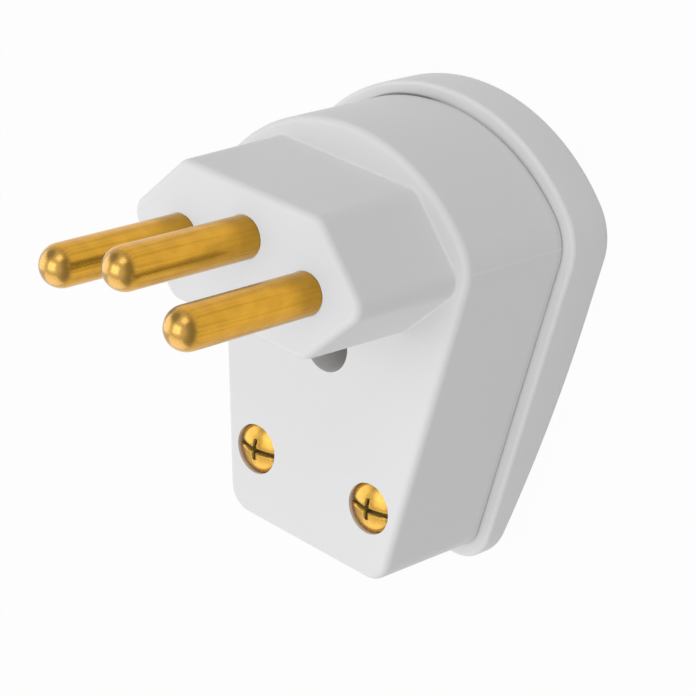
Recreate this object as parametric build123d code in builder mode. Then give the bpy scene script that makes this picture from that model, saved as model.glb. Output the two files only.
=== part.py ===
"""Right-angle three-pin plug: hexagonal head, two-part moulded housing, screw terminals and cord clamp.

Millimetres. The plug lies on its back cover. z = 0 is the flat of the back, +Z is the way the pins
point, +Y runs to the rounded crown and -Y to the cord's end. x = y = 0 is midway between the line and
neutral pins.
"""

import os
from math import radians, sqrt, tan

from build123d import *

# Clearances between pieces, on the radius or on one side
FIT = 0.1
THREAD_FIT = 0.05
SCREW_CLEAR = 0.2

# Pins, as the standard for this pattern gives them
PIN_R = 2.4
PIN_REACH = 19.0
PIN_PITCH = 19.0
EARTH_RISE = 3.0
WAIST_DEPTH = 0.25

# Hexagonal head
HEAD_DEPTH = 14.6
HEAD_SIDE = 8.3
HEAD_EDGE_HALF = 10.15
HEAD_HALF_HEIGHT = 8.0
HEAD_MID_Y = 0.5
HEAD_ROUND = 2.0
HEAD_EDGE = 0.8
HEAD_ROOT = 0.3
HEAD_DRAFT_DEG = 1.2

# Housing outline where body and cover meet, before its corners are rounded
CROWN_Y = 13.0
SHOULDER_LEDGE = 1.35
SHOULDER_Y = 2.55
END_X = 12.3
END_Y = -38.0
SHOULDER_ROUND = 6.0
END_ROUND = 3.2

# Front body: depth, draft, edges and the shadow line over the cover's rim, which opens at the crown
BODY_DEPTH = 15.6
DRAFT_DEG = 0.3
FRONT_EDGE = 0.8
SHADOW_GAP = 0.2
SHADOW_OPEN = 0.9
SHADOW_OPEN_Y = 6.0
SHADOW_DEPTH = 0.7

# Walls and ribs
WALL = 2.0
FRONT_WALL = 2.4
HEAD_WALL = 2.2
FACE_WALL = 2.4
FLOOR = 2.0
RIB = 1.2
MERGE = 0.5

# Back cover: rim past the body, edges, and the back that bends forward to the cord's end
COVER_DEPTH = 6.1
RIM = 1.5
RIM_END = 1.7
RIM_EDGE = 0.5
BACK_EDGE = 0.4
BEND_Y = -8.0
BEND_RISE = 3.5
SPIGOT = 1.2
SPIGOT_RISE = 2.0
JOINT_RISE = 0.5

# Terminals on the pins' inner ends, with their bosses, rings, dividers and guides
BOSS_WALL = 1.0
TERMINAL_FLANGE = 1.8
TERMINAL_LENGTH = 9.6
TERMINAL_EDGE = 0.3
WIRE_BORE_R = 1.8
WIRE_BORE_DROP = 3.4
TERMINAL_SCREW_R = 1.95
TERMINAL_SCREW_LENGTH = 5.0
TERMINAL_SCREW_PROUD = 0.4
TERMINAL_SLOT = 0.7
RING_WALL = 1.0
DIVIDER_LOW_Y = -6.5
DIVIDER_HIGH_Y = 8.0
DIVIDER_RISE = 1.0
GUIDE_HALF_Y = 3.0
GUIDE_RISE = 2.5

# Screws that hold the cover, with a slot and a cross in a domed head
SCREW_R = 1.5
SCREW_POINT = 0.4
SCREW_HEAD_R = 2.9
SCREW_HEAD_SIDE = 0.9
SCREW_HEAD_RISE = 1.8
SLOT_WIDTH = 0.65
SLOT_DEPTH = 1.1
CROSS_REACH = 1.4
CROSS_WIDTH = 0.65
CROSS_DEPTH = 1.4
CROSS_TAPER_DEG = 8.0
SIDE_SCREW_X = 9.0
SIDE_SCREW_FROM_END = 8.6
SIDE_RECESS_DEPTH = 1.4
CENTRE_SCREW_DROP = 5.2
CENTRE_SEAT_RISE = 4.0
CENTRE_WAY_R = 3.25
CENTRE_BOSS_WALL = 1.85

# Threaded inserts in the cover
INSERT_WALL = 0.7
INSERT_LENGTH = 4.0
INSERT_SPARE = 0.9
INSERT_BOSS_WALL = 1.1
INSERT_GROOVE = 0.3
INSERT_FLUTES = 12

# Cord inlet, cradle and clamp
INLET_R = 5.2
INLET_LIP = 0.7
INLET_FLARE = 0.6
SADDLE_WALL = 2.0
SADDLE_THICK = 2.4
CORD_GRIP = 0.4
CRADLE_STEP = 2.1
CLAMP_X = 8.0
CLAMP_FROM_SCREWS = 7.7
CLAMP_HALF_WIDTH = 2.7
CLAMP_THICK = 3.0
CLAMP_BITE = 0.2
TOOTH_RISE = 0.6
TOOTH_STEP = 1.6
TOOTH_HALF_LENGTH = 4.5
POST_WALL = 1.45
CLAMP_SCREW_R = 1.4
CLAMP_SCREW_HEAD_R = 2.5
CLAMP_SCREW_LENGTH = 10.0
CLAMP_SCREW_ANGLE_DEG = 90.0
CLAMP_SLOT_DEPTH = 0.6

# Planes and places worked out from the sizes above
FRONT_Z = COVER_DEPTH + BODY_DEPTH
FACE_Z = FRONT_Z + HEAD_DEPTH
TIP_Z = FACE_Z + PIN_REACH
INNER_Z = FRONT_Z - FRONT_WALL
HEAD_INNER_Z = FACE_Z - FACE_WALL
HEAD_HALF_WIDTH = PIN_PITCH / 2 + HEAD_SIDE
HEAD_SPREAD = HEAD_DEPTH * tan(radians(HEAD_DRAFT_DEG))
SHOULDER_X = HEAD_HALF_WIDTH + SHOULDER_LEDGE
SIDE_SLOPE = (SHOULDER_X - END_X) / (SHOULDER_Y - END_Y)
BEND_RADIUS = ((BEND_Y - END_Y) ** 2 + BEND_RISE**2) / (2 * BEND_RISE)
SPIGOT_OUT = WALL + FIT
CAVITY_INSET = SPIGOT_OUT + SPIGOT
JOINT_Z = COVER_DEPTH + SPIGOT_RISE + JOINT_RISE

PIN_PLACES = {
    "line": (-PIN_PITCH / 2, 0.0),
    "neutral": (PIN_PITCH / 2, 0.0),
    "earth": (0.0, EARTH_RISE),
}
WAIST_R = PIN_R - WAIST_DEPTH
TERMINAL_R = PIN_R + TERMINAL_FLANGE
TERMINAL_END_Z = INNER_Z - TERMINAL_LENGTH
WIRE_Z = INNER_Z - WIRE_BORE_DROP
DIVIDER_X = PIN_PITCH / 4
TERMINAL_HALF_WIDTH = DIVIDER_X - RIB / 2 - FIT
GUIDE_X = PIN_PITCH / 2 + TERMINAL_HALF_WIDTH + FIT + RIB / 2
RING_Z = TERMINAL_END_Z - FIT

SIDE_SCREW_Y = END_Y + SIDE_SCREW_FROM_END
SIDE_SCREW_PLACES = [(-SIDE_SCREW_X, SIDE_SCREW_Y), (SIDE_SCREW_X, SIDE_SCREW_Y)]
CENTRE_PLACE = (0.0, HEAD_MID_Y - HEAD_HALF_HEIGHT - CENTRE_SCREW_DROP)
SCREW_HOLE_R = SCREW_R + SCREW_CLEAR
HEAD_HOLE_R = SCREW_HEAD_R + FIT
SIDE_SEAT_Z = FRONT_Z - SIDE_RECESS_DEPTH
CENTRE_SEAT_Z = JOINT_Z + CENTRE_SEAT_RISE
SCREW_END_Z = JOINT_Z - INSERT_LENGTH + INSERT_SPARE
INSERT_R = SCREW_R + INSERT_WALL
INSERT_BOSS_R = INSERT_R + INSERT_BOSS_WALL

INLET_Z = COVER_DEPTH + INLET_LIP + INLET_R
SADDLE_HALF = INLET_R + SADDLE_WALL
CLAMP_Y = SIDE_SCREW_Y + CLAMP_FROM_SCREWS
CLAMP_PLACES = [(-CLAMP_X, CLAMP_Y), (CLAMP_X, CLAMP_Y)]
CLAMP_TOP_Z = INLET_Z - INLET_R + CLAMP_BITE
CLAMP_Z = CLAMP_TOP_Z - CLAMP_THICK

os.makedirs("parts", exist_ok=True)


def save(part, name):
    """Labels a finished piece and writes it."""
    part.label = name
    export_step(part, f"parts/{name}.step")


def upright_plane(x, y):
    """The plane through (x, y) whose own x is the radius and whose own y is the height."""
    return Plane(origin=(x, y, 0), x_dir=(1, 0, 0), z_dir=(0, -1, 0))


def upright_axis(x, y):
    """The vertical line through (x, y)."""
    return Axis((x, y, 0), (0, 0, 1))


def housing_outline(grow=0.0, end_extra=0.0):
    """The teardrop outline, grown outwards by grow and lengthened at the cord's end by end_extra."""
    end_x = END_X - SIDE_SLOPE * end_extra
    end_y = END_Y - end_extra
    with BuildSketch() as outline:
        with BuildLine():
            ThreePointArc((SHOULDER_X, SHOULDER_Y), (0, CROWN_Y), (-SHOULDER_X, SHOULDER_Y))
            Polyline(
                (-SHOULDER_X, SHOULDER_Y), (-end_x, end_y), (end_x, end_y), (SHOULDER_X, SHOULDER_Y)
            )
        make_face()
        fillet(outline.vertices().group_by(Axis.Y)[-1], radius=SHOULDER_ROUND)
        fillet(outline.vertices().group_by(Axis.Y)[0], radius=END_ROUND)
        if grow:
            offset(amount=grow, kind=Kind.INTERSECTION)
    return outline.sketch


def head_outline(inset=0.0):
    """The head's hexagon with rounded corners, drawn in by inset."""
    low_y, high_y = HEAD_MID_Y - HEAD_HALF_HEIGHT, HEAD_MID_Y + HEAD_HALF_HEIGHT
    with BuildSketch() as hexagon:
        with BuildLine():
            Polyline(
                (HEAD_HALF_WIDTH, HEAD_MID_Y),
                (HEAD_EDGE_HALF, high_y),
                (-HEAD_EDGE_HALF, high_y),
                (-HEAD_HALF_WIDTH, HEAD_MID_Y),
                (-HEAD_EDGE_HALF, low_y),
                (HEAD_EDGE_HALF, low_y),
                close=True,
            )
        make_face()
        fillet(hexagon.vertices(), radius=HEAD_ROUND)
        if inset:
            offset(amount=-inset, kind=Kind.INTERSECTION)
    return hexagon.sketch


def back_z(y):
    """Height of the back's surface at y: flat, then bending forward on one radius."""
    return BEND_RADIUS - sqrt(BEND_RADIUS**2 - min(y - BEND_Y, 0.0) ** 2)


def behind_back(shift):
    """Everything behind the back's surface moved forward by shift, wider than the plug."""
    reach = 3 * SHOULDER_X
    far_y = END_Y - 2 * RIM_END
    with BuildPart() as solid:
        with BuildSketch(Plane.YZ):
            with BuildLine():
                bend = ThreePointArc(
                    (BEND_Y, shift),
                    ((BEND_Y + far_y) / 2, back_z((BEND_Y + far_y) / 2) + shift),
                    (far_y, back_z(far_y) + shift),
                )
                Polyline(bend @ 1, (far_y, -reach), (reach, -reach), (reach, shift), bend @ 0)
            make_face()
        extrude(amount=reach, both=True)
    return solid.part


def inlet_bore():
    """The cord inlet's round way through the end wall, flared at its outer edge."""
    mouth_y = END_Y - FIT
    inner_y = END_Y + WALL + SADDLE_THICK
    with BuildPart() as bore:
        with BuildSketch(Plane.YZ):
            with BuildLine():
                Polyline(
                    (mouth_y, INLET_Z),
                    (mouth_y, INLET_Z + INLET_R + INLET_FLARE),
                    (mouth_y + INLET_FLARE, INLET_Z + INLET_R),
                    (inner_y, INLET_Z + INLET_R),
                    (inner_y, INLET_Z),
                    close=True,
                )
            make_face()
        revolve(axis=Axis((0, END_Y, INLET_Z), (0, 1, 0)))
    return bore.part


# Shadow line round the rim, opening towards the crown
with BuildPart() as shadow_line:
    with BuildSketch(Plane.YZ):
        Polygon(
            (END_Y - 2 * RIM_END, COVER_DEPTH),
            (CROWN_Y + 2 * RIM, COVER_DEPTH),
            (CROWN_Y + 2 * RIM, COVER_DEPTH + SHADOW_OPEN),
            (SHADOW_OPEN_Y, COVER_DEPTH + SHADOW_GAP),
            (END_Y - 2 * RIM_END, COVER_DEPTH + SHADOW_GAP),
            align=None,
        )
    extrude(amount=2 * SHOULDER_X, both=True)
    with BuildSketch(Plane.XY.offset(COVER_DEPTH)):
        add(housing_outline(grow=RIM))
        add(housing_outline(grow=-SHADOW_DEPTH), mode=Mode.SUBTRACT)
    extrude(amount=BODY_DEPTH, mode=Mode.INTERSECT)

# Front body: the shell with the hexagonal head that carries the pins
with BuildPart() as front_body:
    with BuildSketch(Plane.XY.offset(COVER_DEPTH)):
        add(housing_outline())
    extrude(amount=BODY_DEPTH, taper=DRAFT_DEG)
    fillet(front_body.faces().sort_by(Axis.Z)[-1].edges(), radius=FRONT_EDGE)
    with BuildSketch(Plane.XY.offset(FRONT_Z)):
        add(head_outline(inset=-HEAD_SPREAD))
    extrude(amount=HEAD_DEPTH, taper=HEAD_DRAFT_DEG)
    fillet(front_body.faces().sort_by(Axis.Z)[-1].edges(), radius=HEAD_EDGE)
    ledge = front_body.faces().filter_by(Plane.XY).sort_by(Axis.Z)[-2]
    fillet(ledge.inner_wires()[0].edges(), radius=HEAD_ROOT)

    # Hollow of the shell and of the head
    with BuildSketch(Plane.XY.offset(COVER_DEPTH)):
        add(housing_outline(grow=-WALL))
    extrude(amount=INNER_Z - COVER_DEPTH, mode=Mode.SUBTRACT)
    with BuildSketch(Plane.XY.offset(INNER_Z)):
        add(head_outline(inset=HEAD_WALL))
    extrude(amount=HEAD_INNER_Z - INNER_Z, mode=Mode.SUBTRACT)

    # Pin bosses with a web each way, the dividers between the poles and the terminals' outer guides
    with BuildSketch(Plane.XY.offset(INNER_Z)):
        with Locations(*PIN_PLACES.values()):
            Circle(PIN_R + FIT + BOSS_WALL)
        with Locations((0, HEAD_MID_Y)):
            Rectangle(2 * (HEAD_HALF_WIDTH - HEAD_WALL), RIB)
            Rectangle(RIB, 2 * HEAD_HALF_HEIGHT - HEAD_WALL)
    extrude(amount=HEAD_INNER_Z - INNER_Z + MERGE)
    divider_z = TERMINAL_END_Z + DIVIDER_RISE
    with BuildSketch(Plane.XY.offset(divider_z)):
        with Locations(*[(side * DIVIDER_X, (DIVIDER_LOW_Y + DIVIDER_HIGH_Y) / 2) for side in (-1, 1)]):
            Rectangle(RIB, DIVIDER_HIGH_Y - DIVIDER_LOW_Y)
    extrude(amount=HEAD_INNER_Z - divider_z + MERGE)
    guide_z = TERMINAL_END_Z + GUIDE_RISE
    with BuildSketch(Plane.XY.offset(guide_z)):
        with Locations((-GUIDE_X, 0), (GUIDE_X, 0)):
            Rectangle(RIB, 2 * GUIDE_HALF_Y)
    extrude(amount=INNER_Z - guide_z + MERGE)

    # Screw bosses and clamp posts
    with BuildSketch(Plane.XY.offset(JOINT_Z)):
        with Locations(*SIDE_SCREW_PLACES):
            Circle(INSERT_BOSS_R)
        with Locations(CENTRE_PLACE):
            Circle(CENTRE_WAY_R + CENTRE_BOSS_WALL)
    extrude(amount=INNER_Z - JOINT_Z + MERGE)
    with BuildSketch(Plane.XY.offset(CLAMP_TOP_Z)):
        with Locations(*CLAMP_PLACES):
            Circle(CLAMP_SCREW_R + THREAD_FIT + POST_WALL)
    extrude(amount=INNER_Z - CLAMP_TOP_Z + MERGE)

    # Cradle ribs that the cord lies in under the clamp
    for side in (-1, 1):
        with BuildSketch(Plane.XZ.offset(-(CLAMP_Y + side * CRADLE_STEP))):
            with Locations((0, (INNER_Z + INLET_Z + MERGE) / 2)):
                Rectangle(2 * CLAMP_X, INNER_Z - INLET_Z + MERGE)
            with Locations((0, INLET_Z)):
                Circle(INLET_R - CORD_GRIP, mode=Mode.SUBTRACT)
        extrude(amount=RIB / 2, both=True)

    # Bores for the pins, narrower in the face wall, where each snaps into its pin's waist
    with BuildSketch(Plane.XY.offset(INNER_Z)):
        with Locations(*PIN_PLACES.values()):
            Circle(PIN_R + FIT)
    extrude(amount=HEAD_INNER_Z - INNER_Z, mode=Mode.SUBTRACT)
    with BuildSketch(Plane.XY.offset(HEAD_INNER_Z)):
        with Locations(*PIN_PLACES.values()):
            Circle(WAIST_R + FIT)
    extrude(amount=FACE_WALL, mode=Mode.SUBTRACT)
    mouths = front_body.faces().filter_by(Plane.XY).sort_by(Axis.Z)[-1].inner_wires()
    chamfer([edge for mouth in mouths for edge in mouth.edges()], length=WAIST_DEPTH)

    # Screw holes with their recesses, and the clamp screws' pilot holes
    with Locations(*[(x, y, FRONT_Z) for x, y in SIDE_SCREW_PLACES]):
        CounterBoreHole(SCREW_HOLE_R, HEAD_HOLE_R, SIDE_RECESS_DEPTH)
    with Locations((*CENTRE_PLACE, FRONT_Z)):
        CounterBoreHole(SCREW_HOLE_R, CENTRE_WAY_R, FRONT_Z - CENTRE_SEAT_Z)
    with BuildSketch(Plane.XY.offset(CLAMP_TOP_Z)):
        with Locations(*CLAMP_PLACES):
            Circle(CLAMP_SCREW_R + THREAD_FIT)
    extrude(amount=CLAMP_SCREW_LENGTH - CLAMP_THICK + MERGE, mode=Mode.SUBTRACT)

    # Notch for the cover's saddle, the cord inlet and the shadow line along the rim
    with BuildSketch(Plane.XZ.offset(-END_Y + RIM)):
        with Locations((0, (COVER_DEPTH + INLET_Z) / 2)):
            Rectangle(2 * (SADDLE_HALF + FIT), INLET_Z - COVER_DEPTH)
    extrude(amount=-(RIM + WALL + SADDLE_THICK), mode=Mode.SUBTRACT)
    add(inlet_bore(), mode=Mode.SUBTRACT)
    add(shadow_line.part, mode=Mode.SUBTRACT)

save(front_body.part, "front_body")

# Inside of the cover: down to a floor that follows the bent back
with BuildPart() as cover_hollow:
    with BuildSketch():
        add(housing_outline(grow=-CAVITY_INSET))
    extrude(amount=COVER_DEPTH + SPIGOT_RISE)
    add(behind_back(FLOOR), mode=Mode.SUBTRACT)

# Back cover: overhanging rim, bent back, locating spigot, bosses, retaining rings and the inlet's saddle
with BuildPart() as back_cover:
    with BuildSketch():
        add(housing_outline(grow=RIM, end_extra=RIM_END - RIM))
    extrude(amount=COVER_DEPTH)
    fillet(back_cover.faces().sort_by(Axis.Z)[-1].edges(), radius=RIM_EDGE)
    add(behind_back(0), mode=Mode.SUBTRACT)
    flat = back_cover.faces().sort_by(Axis.Z)[0]
    bend = back_cover.faces().filter_by(GeomType.CYLINDER).sort_by(SortBy.AREA)[-1]
    outer_back = [edge for edge in flat.edges() + bend.edges() if abs(edge.center().Y - BEND_Y) > MERGE]
    fillet(outer_back, radius=BACK_EDGE)

    with BuildSketch(Plane.XY.offset(COVER_DEPTH - MERGE)):
        add(housing_outline(grow=-SPIGOT_OUT))
    extrude(amount=SPIGOT_RISE + MERGE)
    add(cover_hollow.part, mode=Mode.SUBTRACT)

    # Insert bosses up to the body's, cut to pass inside its wall
    for x, y in (*SIDE_SCREW_PLACES, CENTRE_PLACE):
        boss_z = back_z(y) + FLOOR / 2
        with BuildSketch(Plane.XY.offset(boss_z)):
            with Locations((x, y)):
                Circle(INSERT_BOSS_R)
            add(housing_outline(grow=-SPIGOT_OUT), mode=Mode.INTERSECT)
        extrude(amount=JOINT_Z - boss_z)

    # Rings that keep the pins from being pushed back, open for the terminal screws
    with BuildSketch(Plane.XY.offset(FLOOR / 2)):
        with Locations(*PIN_PLACES.values()):
            Circle(TERMINAL_SCREW_R + 2 * THREAD_FIT + MERGE + RING_WALL)
    extrude(amount=RING_Z - FLOOR / 2)
    with BuildSketch(Plane.XY.offset(RING_Z)):
        with Locations(*PIN_PLACES.values()):
            Circle(TERMINAL_SCREW_R + 2 * THREAD_FIT + MERGE)
    extrude(amount=FLOOR - RING_Z, mode=Mode.SUBTRACT)

    # Saddle that closes the cord inlet from behind
    with BuildSketch(Plane.XZ.offset(-(END_Y + FIT))):
        with Locations((0, (COVER_DEPTH - MERGE + INLET_Z - FIT) / 2)):
            Rectangle(2 * SADDLE_HALF, INLET_Z - FIT - COVER_DEPTH + MERGE)
    extrude(amount=-SADDLE_THICK)
    add(inlet_bore(), mode=Mode.SUBTRACT)

    # Seats of the inserts, with room below for a screw's end
    with Locations(*[(x, y, JOINT_Z) for x, y in (*SIDE_SCREW_PLACES, CENTRE_PLACE)]):
        CounterBoreHole(SCREW_HOLE_R, INSERT_R + THREAD_FIT, INSERT_LENGTH, INSERT_LENGTH + MERGE)

save(back_cover.part, "back_cover")

# Pins: turned in one piece, domed outside, waisted in the face wall, with a flanged pillar terminal inside
for pole, (x, y) in PIN_PLACES.items():
    dome_z = TIP_Z - PIN_R
    half_r = PIN_R * sqrt(0.5)
    with BuildPart() as pin:
        with BuildSketch(upright_plane(x, y)):
            with BuildLine():
                Polyline(
                    (0, TIP_Z),
                    (0, TERMINAL_END_Z),
                    (TERMINAL_R - TERMINAL_EDGE, TERMINAL_END_Z),
                    (TERMINAL_R, TERMINAL_END_Z + TERMINAL_EDGE),
                    (TERMINAL_R, INNER_Z),
                    (PIN_R, INNER_Z),
                    (PIN_R, HEAD_INNER_Z - FIT),
                    (WAIST_R, HEAD_INNER_Z - FIT),
                    (WAIST_R, FACE_Z - WAIST_DEPTH),
                    (PIN_R, FACE_Z),
                    (PIN_R, dome_z),
                )
                ThreePointArc((PIN_R, dome_z), (half_r, dome_z + half_r), (0, TIP_Z))
            make_face()
        revolve(axis=upright_axis(x, y))
        with BuildSketch(Plane.XY.offset(TERMINAL_END_Z)):
            with Locations((x, y)):
                Rectangle(2 * (TERMINAL_HALF_WIDTH + TERMINAL_R), 3 * TERMINAL_R)
                Rectangle(2 * TERMINAL_HALF_WIDTH, 3 * TERMINAL_R, mode=Mode.SUBTRACT)
        extrude(amount=TERMINAL_LENGTH, mode=Mode.SUBTRACT)
        with BuildSketch(Plane.XY.offset(TERMINAL_END_Z)):
            with Locations((x, y)):
                Circle(TERMINAL_SCREW_R + THREAD_FIT)
        extrude(amount=TERMINAL_LENGTH - WIRE_BORE_DROP, mode=Mode.SUBTRACT)
        with BuildSketch(Plane.XZ.offset(-y)):
            with Locations((x, WIRE_Z)):
                Circle(WIRE_BORE_R)
        extrude(amount=2 * TERMINAL_R, both=True, mode=Mode.SUBTRACT)
    save(pin.part, f"{pole}_pin")

    # Its terminal screw, driven from the back against the wire
    screw_z = TERMINAL_END_Z - TERMINAL_SCREW_PROUD
    with BuildPart() as terminal_screw:
        with BuildSketch(upright_plane(x, y)):
            with BuildLine():
                Polyline(
                    (0, screw_z),
                    (TERMINAL_SCREW_R - TERMINAL_EDGE, screw_z),
                    (TERMINAL_SCREW_R, screw_z + TERMINAL_EDGE),
                    (TERMINAL_SCREW_R, screw_z + TERMINAL_SCREW_LENGTH - TERMINAL_EDGE),
                    (TERMINAL_SCREW_R - TERMINAL_EDGE, screw_z + TERMINAL_SCREW_LENGTH),
                    (0, screw_z + TERMINAL_SCREW_LENGTH),
                    close=True,
                )
            make_face()
        revolve(axis=upright_axis(x, y))
        with BuildSketch(Plane.XY.offset(screw_z)):
            with Locations((x, y)):
                Rectangle(3 * TERMINAL_SCREW_R, TERMINAL_SLOT)
        extrude(amount=2 * TERMINAL_SLOT, mode=Mode.SUBTRACT)
    save(terminal_screw.part, f"{pole}_terminal_screw")

# Cover screws: domed head with a slot across it and a cross in its middle
COVER_SCREWS = {
    "cover_screw_left": (*SIDE_SCREW_PLACES[0], SIDE_SEAT_Z),
    "cover_screw_right": (*SIDE_SCREW_PLACES[1], SIDE_SEAT_Z),
    "cover_screw_centre": (*CENTRE_PLACE, CENTRE_SEAT_Z),
}
for name, (x, y, seat_z) in COVER_SCREWS.items():
    top_z = seat_z + SCREW_HEAD_RISE
    dome_rise = SCREW_HEAD_RISE - SCREW_HEAD_SIDE
    dome_r = (SCREW_HEAD_R**2 + dome_rise**2) / (2 * dome_rise)
    half_r = SCREW_HEAD_R / 2
    half_z = top_z - dome_r + sqrt(dome_r**2 - half_r**2)
    with BuildPart() as cover_screw:
        with BuildSketch(upright_plane(x, y)):
            with BuildLine():
                Polyline(
                    (0, top_z),
                    (0, SCREW_END_Z),
                    (SCREW_R - SCREW_POINT, SCREW_END_Z),
                    (SCREW_R, SCREW_END_Z + SCREW_POINT),
                    (SCREW_R, seat_z),
                    (SCREW_HEAD_R, seat_z),
                    (SCREW_HEAD_R, seat_z + SCREW_HEAD_SIDE),
                )
                ThreePointArc((SCREW_HEAD_R, seat_z + SCREW_HEAD_SIDE), (half_r, half_z), (0, top_z))
            make_face()
        revolve(axis=upright_axis(x, y))
        with BuildSketch(Plane.XY.offset(top_z)):
            with Locations((x, y)):
                Rectangle(3 * SCREW_HEAD_R, SLOT_WIDTH)
        extrude(amount=-SLOT_DEPTH, mode=Mode.SUBTRACT)
        with BuildSketch(Plane.XY.offset(top_z)):
            with Locations((x, y)):
                SlotOverall(2 * CROSS_REACH, CROSS_WIDTH)
                SlotOverall(2 * CROSS_REACH, CROSS_WIDTH, rotation=90)
        extrude(amount=-CROSS_DEPTH, taper=CROSS_TAPER_DEG, mode=Mode.SUBTRACT)
    save(cover_screw.part, name)

    # The threaded insert in the cover that it is driven into
    with BuildPart() as insert:
        with BuildSketch(upright_plane(x, y)):
            with BuildLine():
                Polyline(
                    (SCREW_R + THREAD_FIT, JOINT_Z),
                    (SCREW_R + THREAD_FIT, JOINT_Z - INSERT_LENGTH),
                    (INSERT_R, JOINT_Z - INSERT_LENGTH),
                    (INSERT_R, JOINT_Z - INSERT_LENGTH / 2 - INSERT_GROOVE),
                    (INSERT_R - INSERT_GROOVE, JOINT_Z - INSERT_LENGTH / 2),
                    (INSERT_R, JOINT_Z - INSERT_LENGTH / 2 + INSERT_GROOVE),
                    (INSERT_R, JOINT_Z),
                    close=True,
                )
            make_face()
        revolve(axis=upright_axis(x, y))
        with BuildSketch(Plane.XY.offset(JOINT_Z)):
            with Locations((x, y)):
                with PolarLocations(INSERT_R, INSERT_FLUTES):
                    Circle(INSERT_GROOVE / 2)
        extrude(amount=-INSERT_LENGTH, mode=Mode.SUBTRACT)
    save(insert.part, name.replace("screw", "insert"))

# Cord clamp: a bar with rounded ends under the posts, toothed where it bites the cord
with BuildPart() as cord_clamp:
    with BuildSketch(Plane.XY.offset(CLAMP_Z)):
        with Locations((0, CLAMP_Y)):
            SlotCenterToCenter(2 * CLAMP_X, 2 * CLAMP_HALF_WIDTH)
    extrude(amount=CLAMP_THICK)
    with BuildSketch(Plane.YZ.offset(-TOOTH_HALF_LENGTH)):
        with Locations(*[(CLAMP_Y + step * TOOTH_STEP, CLAMP_TOP_Z) for step in (-1, 0, 1)]):
            Polygon((-TOOTH_RISE, -TOOTH_RISE), (TOOTH_RISE, -TOOTH_RISE), (0, TOOTH_RISE), align=None)
    extrude(amount=2 * TOOTH_HALF_LENGTH)
    with Locations(*[Plane(origin=(x, y, CLAMP_Z), z_dir=(0, 0, -1)) for x, y in CLAMP_PLACES]):
        CounterSinkHole(
            CLAMP_SCREW_R + SCREW_CLEAR,
            CLAMP_SCREW_HEAD_R + FIT,
            counter_sink_angle=CLAMP_SCREW_ANGLE_DEG,
        )

save(cord_clamp.part, "cord_clamp")

# Clamp screws: countersunk, driven from the back into the body's posts
for side, (x, y) in zip(("left", "right"), CLAMP_PLACES):
    end_z = CLAMP_Z + CLAMP_SCREW_LENGTH
    with BuildPart() as clamp_screw:
        with BuildSketch(upright_plane(x, y)):
            with BuildLine():
                Polyline(
                    (0, CLAMP_Z),
                    (CLAMP_SCREW_HEAD_R, CLAMP_Z),
                    (CLAMP_SCREW_R, CLAMP_Z + CLAMP_SCREW_HEAD_R - CLAMP_SCREW_R),
                    (CLAMP_SCREW_R, end_z - CLAMP_SCREW_R),
                    (0, end_z),
                    close=True,
                )
            make_face()
        revolve(axis=upright_axis(x, y))
        with BuildSketch(Plane.XY.offset(CLAMP_Z)):
            with Locations((x, y)):
                Rectangle(CLAMP_SCREW_HEAD_R, SLOT_WIDTH)
                Rectangle(SLOT_WIDTH, CLAMP_SCREW_HEAD_R)
        extrude(amount=CLAMP_SLOT_DEPTH, mode=Mode.SUBTRACT)
    save(clamp_screw.part, f"clamp_screw_{side}")
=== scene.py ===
"""Looks of a right-angle three-pin plug: white moulded housing, brass pins, brass and steel screws.

Metres, in the plug's own frame: the plug lies on its back, +Z is the way the pins point, +Y runs to
the rounded crown and -Y to the cord's end.
"""

import logging
from dataclasses import dataclass
from enum import Enum
from math import pi, radians
from typing import ClassVar, Protocol

import bmesh
import bpy
from mathutils import Matrix, Vector


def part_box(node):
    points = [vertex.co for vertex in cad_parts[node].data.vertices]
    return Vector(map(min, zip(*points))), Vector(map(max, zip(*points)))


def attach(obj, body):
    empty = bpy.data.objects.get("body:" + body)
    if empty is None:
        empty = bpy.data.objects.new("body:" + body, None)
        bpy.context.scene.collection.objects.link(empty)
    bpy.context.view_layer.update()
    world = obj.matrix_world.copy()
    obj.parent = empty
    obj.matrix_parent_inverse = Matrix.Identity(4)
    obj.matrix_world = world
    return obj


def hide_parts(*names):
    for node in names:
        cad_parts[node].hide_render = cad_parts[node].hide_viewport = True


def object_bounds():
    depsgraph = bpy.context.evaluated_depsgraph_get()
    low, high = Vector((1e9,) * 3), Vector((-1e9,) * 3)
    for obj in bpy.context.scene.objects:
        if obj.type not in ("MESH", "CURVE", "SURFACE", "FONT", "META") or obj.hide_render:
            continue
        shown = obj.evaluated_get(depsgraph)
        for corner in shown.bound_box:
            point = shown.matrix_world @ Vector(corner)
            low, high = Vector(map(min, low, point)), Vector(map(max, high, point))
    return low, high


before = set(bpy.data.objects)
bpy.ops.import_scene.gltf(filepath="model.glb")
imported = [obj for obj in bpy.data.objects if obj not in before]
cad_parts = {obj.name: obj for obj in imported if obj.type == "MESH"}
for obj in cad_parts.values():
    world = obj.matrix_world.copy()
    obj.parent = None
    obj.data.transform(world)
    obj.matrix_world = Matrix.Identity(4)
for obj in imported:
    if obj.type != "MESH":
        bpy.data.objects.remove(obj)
CAD_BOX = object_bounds()

LOG = logging.getLogger("plug")
MM = 0.001
BODY = "root"
FRAME_PIXELS = 696
SMOOTH_ANGLE = radians(32)
HAIR = 0.01 * MM

# Places of the CAD that shading follows and no node's box gives
COVER_DEPTH = 6.1 * MM
FRONT_Z = 21.7 * MM
FACE_Z = 36.3 * MM
TIP_Z = CAD_BOX[1].z
SIDE_RECESS = (9.0 * MM, -29.4 * MM)
SIDE_RECESS_R = 3.0 * MM
CENTRE_WAY_Y = -12.7 * MM
CENTRE_WAY_R = 3.25 * MM
WALL_MARGIN = 0.03 * MM

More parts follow.
